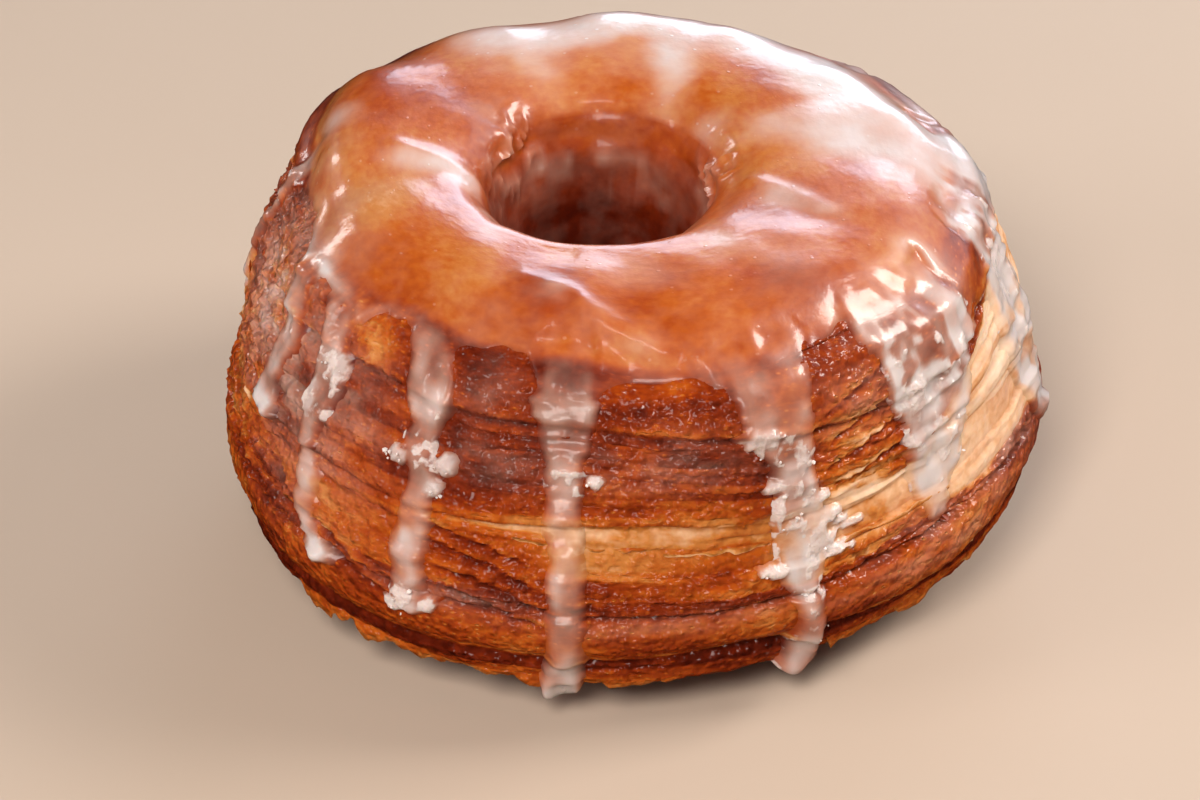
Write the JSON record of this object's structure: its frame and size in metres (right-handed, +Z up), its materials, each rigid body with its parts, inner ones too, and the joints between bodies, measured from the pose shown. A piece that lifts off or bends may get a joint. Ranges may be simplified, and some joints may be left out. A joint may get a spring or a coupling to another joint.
{
  "type": "croissant doughnut",
  "caption": "Ring doughnut of laminated croissant dough, layers showing on its side, with a poured sugar glaze that runs down the side.",
  "frame": {"origin": "middle of the doughnut's outline, on the surface that it rests on", "axes": "+Z up along the hole, +X to the right and -Y towards the viewer of the reference picture"},
  "size_m": [0.0938, 0.0882, 0.0479],
  "materials": {
    "glazed_dough": "fried, browned laminated dough under a wet sugar glaze"
  },
  "bodies": {
    "root": {"dough_ring": "glazed_dough"}
  },
  "joints": []
}
